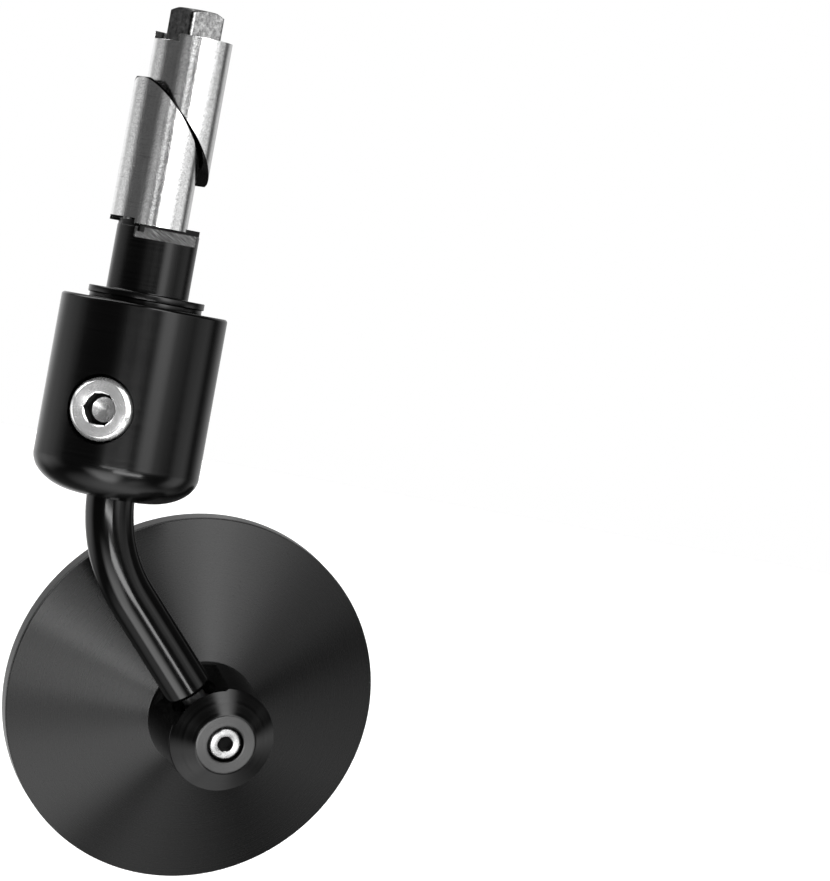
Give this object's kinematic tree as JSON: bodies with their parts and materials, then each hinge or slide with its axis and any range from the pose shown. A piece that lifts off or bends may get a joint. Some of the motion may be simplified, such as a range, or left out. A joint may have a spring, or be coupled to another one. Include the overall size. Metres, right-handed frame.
{
  "type": "bar-end mirror",
  "caption": "Round rear-view mirror on a bent stem, with a swivelling body and an expanding wedge that grips the bore of a handlebar end.",
  "frame": {"origin": "on the handlebar's axis, in the flange face that the end of the handlebar rests against", "axes": "+Z along the handlebar's axis, into the handlebar; +X the way the stem bends; the hub screw faces mostly -Y"},
  "size_m": [0.0949, 0.0515, 0.181],
  "materials": {
    "black_anodised": "black anodised, fine turning marks, satin gloss",
    "turned_anodised": "black anodised over circular turning, with a spun sheen",
    "polished_casting": "polished casting with light scratches",
    "nut_steel": "zinc plated, mottled",
    "bright_steel": "bright plated",
    "dark_steel": "dark plated",
    "brass": "turned",
    "nylon": "moulded, satin",
    "mirror_glass": "silvered, slightly convex",
    "foam": "closed-cell foam"
  },
  "bodies": {
    "bar_fixing": {"spindle": "black_anodised", "lower_wedge": "polished_casting", "draw_screw_washer": "bright_steel"},
    "draw_screw": {"draw_screw": "dark_steel"},
    "draw_nut": {"draw_nut": "nut_steel"},
    "upper_wedge": {"upper_wedge": "polished_casting"},
    "swivel_body": {"body": "black_anodised", "friction_washer": "black_anodised", "stem": "black_anodised", "stem_washer": "bright_steel", "stem_screw": "dark_steel"},
    "lock_shoe": {"lock_shoe": "brass"},
    "lock_screw": {"lock_screw": "bright_steel"},
    "ball_stud": {"ball_stud": "dark_steel"},
    "ball_seat": {"ball_seat": "nylon", "spring_washer": "bright_steel"},
    "mirror_head": {"hub": "black_anodised", "mirror_housing": "turned_anodised", "bezel_ring": "black_anodised", "mirror_glass": "mirror_glass", "backing_pad": "foam", "housing_screw_1": "dark_steel", "housing_screw_2": "dark_steel", "housing_screw_3": "dark_steel"},
    "pressure_pad": {"pressure_pad": "nylon"},
    "hub_screw": {"hub_screw": "bright_steel"}
  },
  "joints": [
    {"name": "body_swivel", "type": "hinge", "parent": "bar_fixing", "child": "swivel_body", "pos_m": [0, 0, 0], "axis": [0, 0, 1], "continuous": true},
    {"name": "draw_screw_turn", "type": "hinge", "parent": "bar_fixing", "child": "draw_screw", "pos_m": [0, 0, 0], "axis": [0, 0, 1], "range_deg": [0, 720]},
    {"name": "draw_nut_slide", "type": "slide", "parent": "bar_fixing", "child": "draw_nut", "axis": [0, 0, -1], "range_m": [0, 0.0016]},
    {"name": "upper_wedge_slide", "type": "slide", "parent": "bar_fixing", "child": "upper_wedge", "axis": [0.6677, 0.082, -0.7399], "range_m": [0, 0.00216]},
    {"name": "lock_shoe_slide", "type": "slide", "parent": "swivel_body", "child": "lock_shoe", "axis": [-0.7314, -0.682, 0], "range_m": [0, 0.00125]},
    {"name": "lock_screw_turn", "type": "hinge", "parent": "lock_shoe", "child": "lock_screw", "pos_m": [0, 0, -0.02455], "axis": [-0.7314, -0.682, 0], "range_deg": [0, 360]},
    {"name": "head_turn", "type": "hinge", "parent": "swivel_body", "child": "ball_stud", "pos_m": [0.03383, 0, -0.08682], "axis": [0.7071, 0, -0.7071], "continuous": true},
    {"name": "head_tilt", "type": "hinge", "parent": "ball_stud", "child": "ball_seat", "pos_m": [0.03383, 0, -0.08682], "axis": [0.6787, -0.2807, 0.6787], "range_deg": [-5, 5]},
    {"name": "head_roll", "type": "hinge", "parent": "ball_seat", "child": "mirror_head", "pos_m": [0.03383, 0, -0.08682], "axis": [-0.1985, -0.9598, -0.1985], "range_deg": [-12, 12]},
    {"name": "pressure_pad_slide", "type": "slide", "parent": "mirror_head", "child": "pressure_pad", "axis": [-0.1985, -0.9598, -0.1985], "range_m": [0, 0.0007]},
    {"name": "hub_screw_turn", "type": "hinge", "parent": "pressure_pad", "child": "hub_screw", "pos_m": [0.03383, 0, -0.08682], "axis": [-0.1985, -0.9598, -0.1985], "range_deg": [0, 360]}
  ],
  "couplings": [
    {"joint": "draw_screw_turn", "follows": "draw_nut_slide", "rad_per_m": 7853.9},
    {"joint": "upper_wedge_slide", "follows": "draw_nut_slide", "ratio": 1.3514},
    {"joint": "lock_screw_turn", "follows": "lock_shoe_slide", "rad_per_m": 5026.5},
    {"joint": "hub_screw_turn", "follows": "pressure_pad_slide", "rad_per_m": 8975.9}
  ]
}
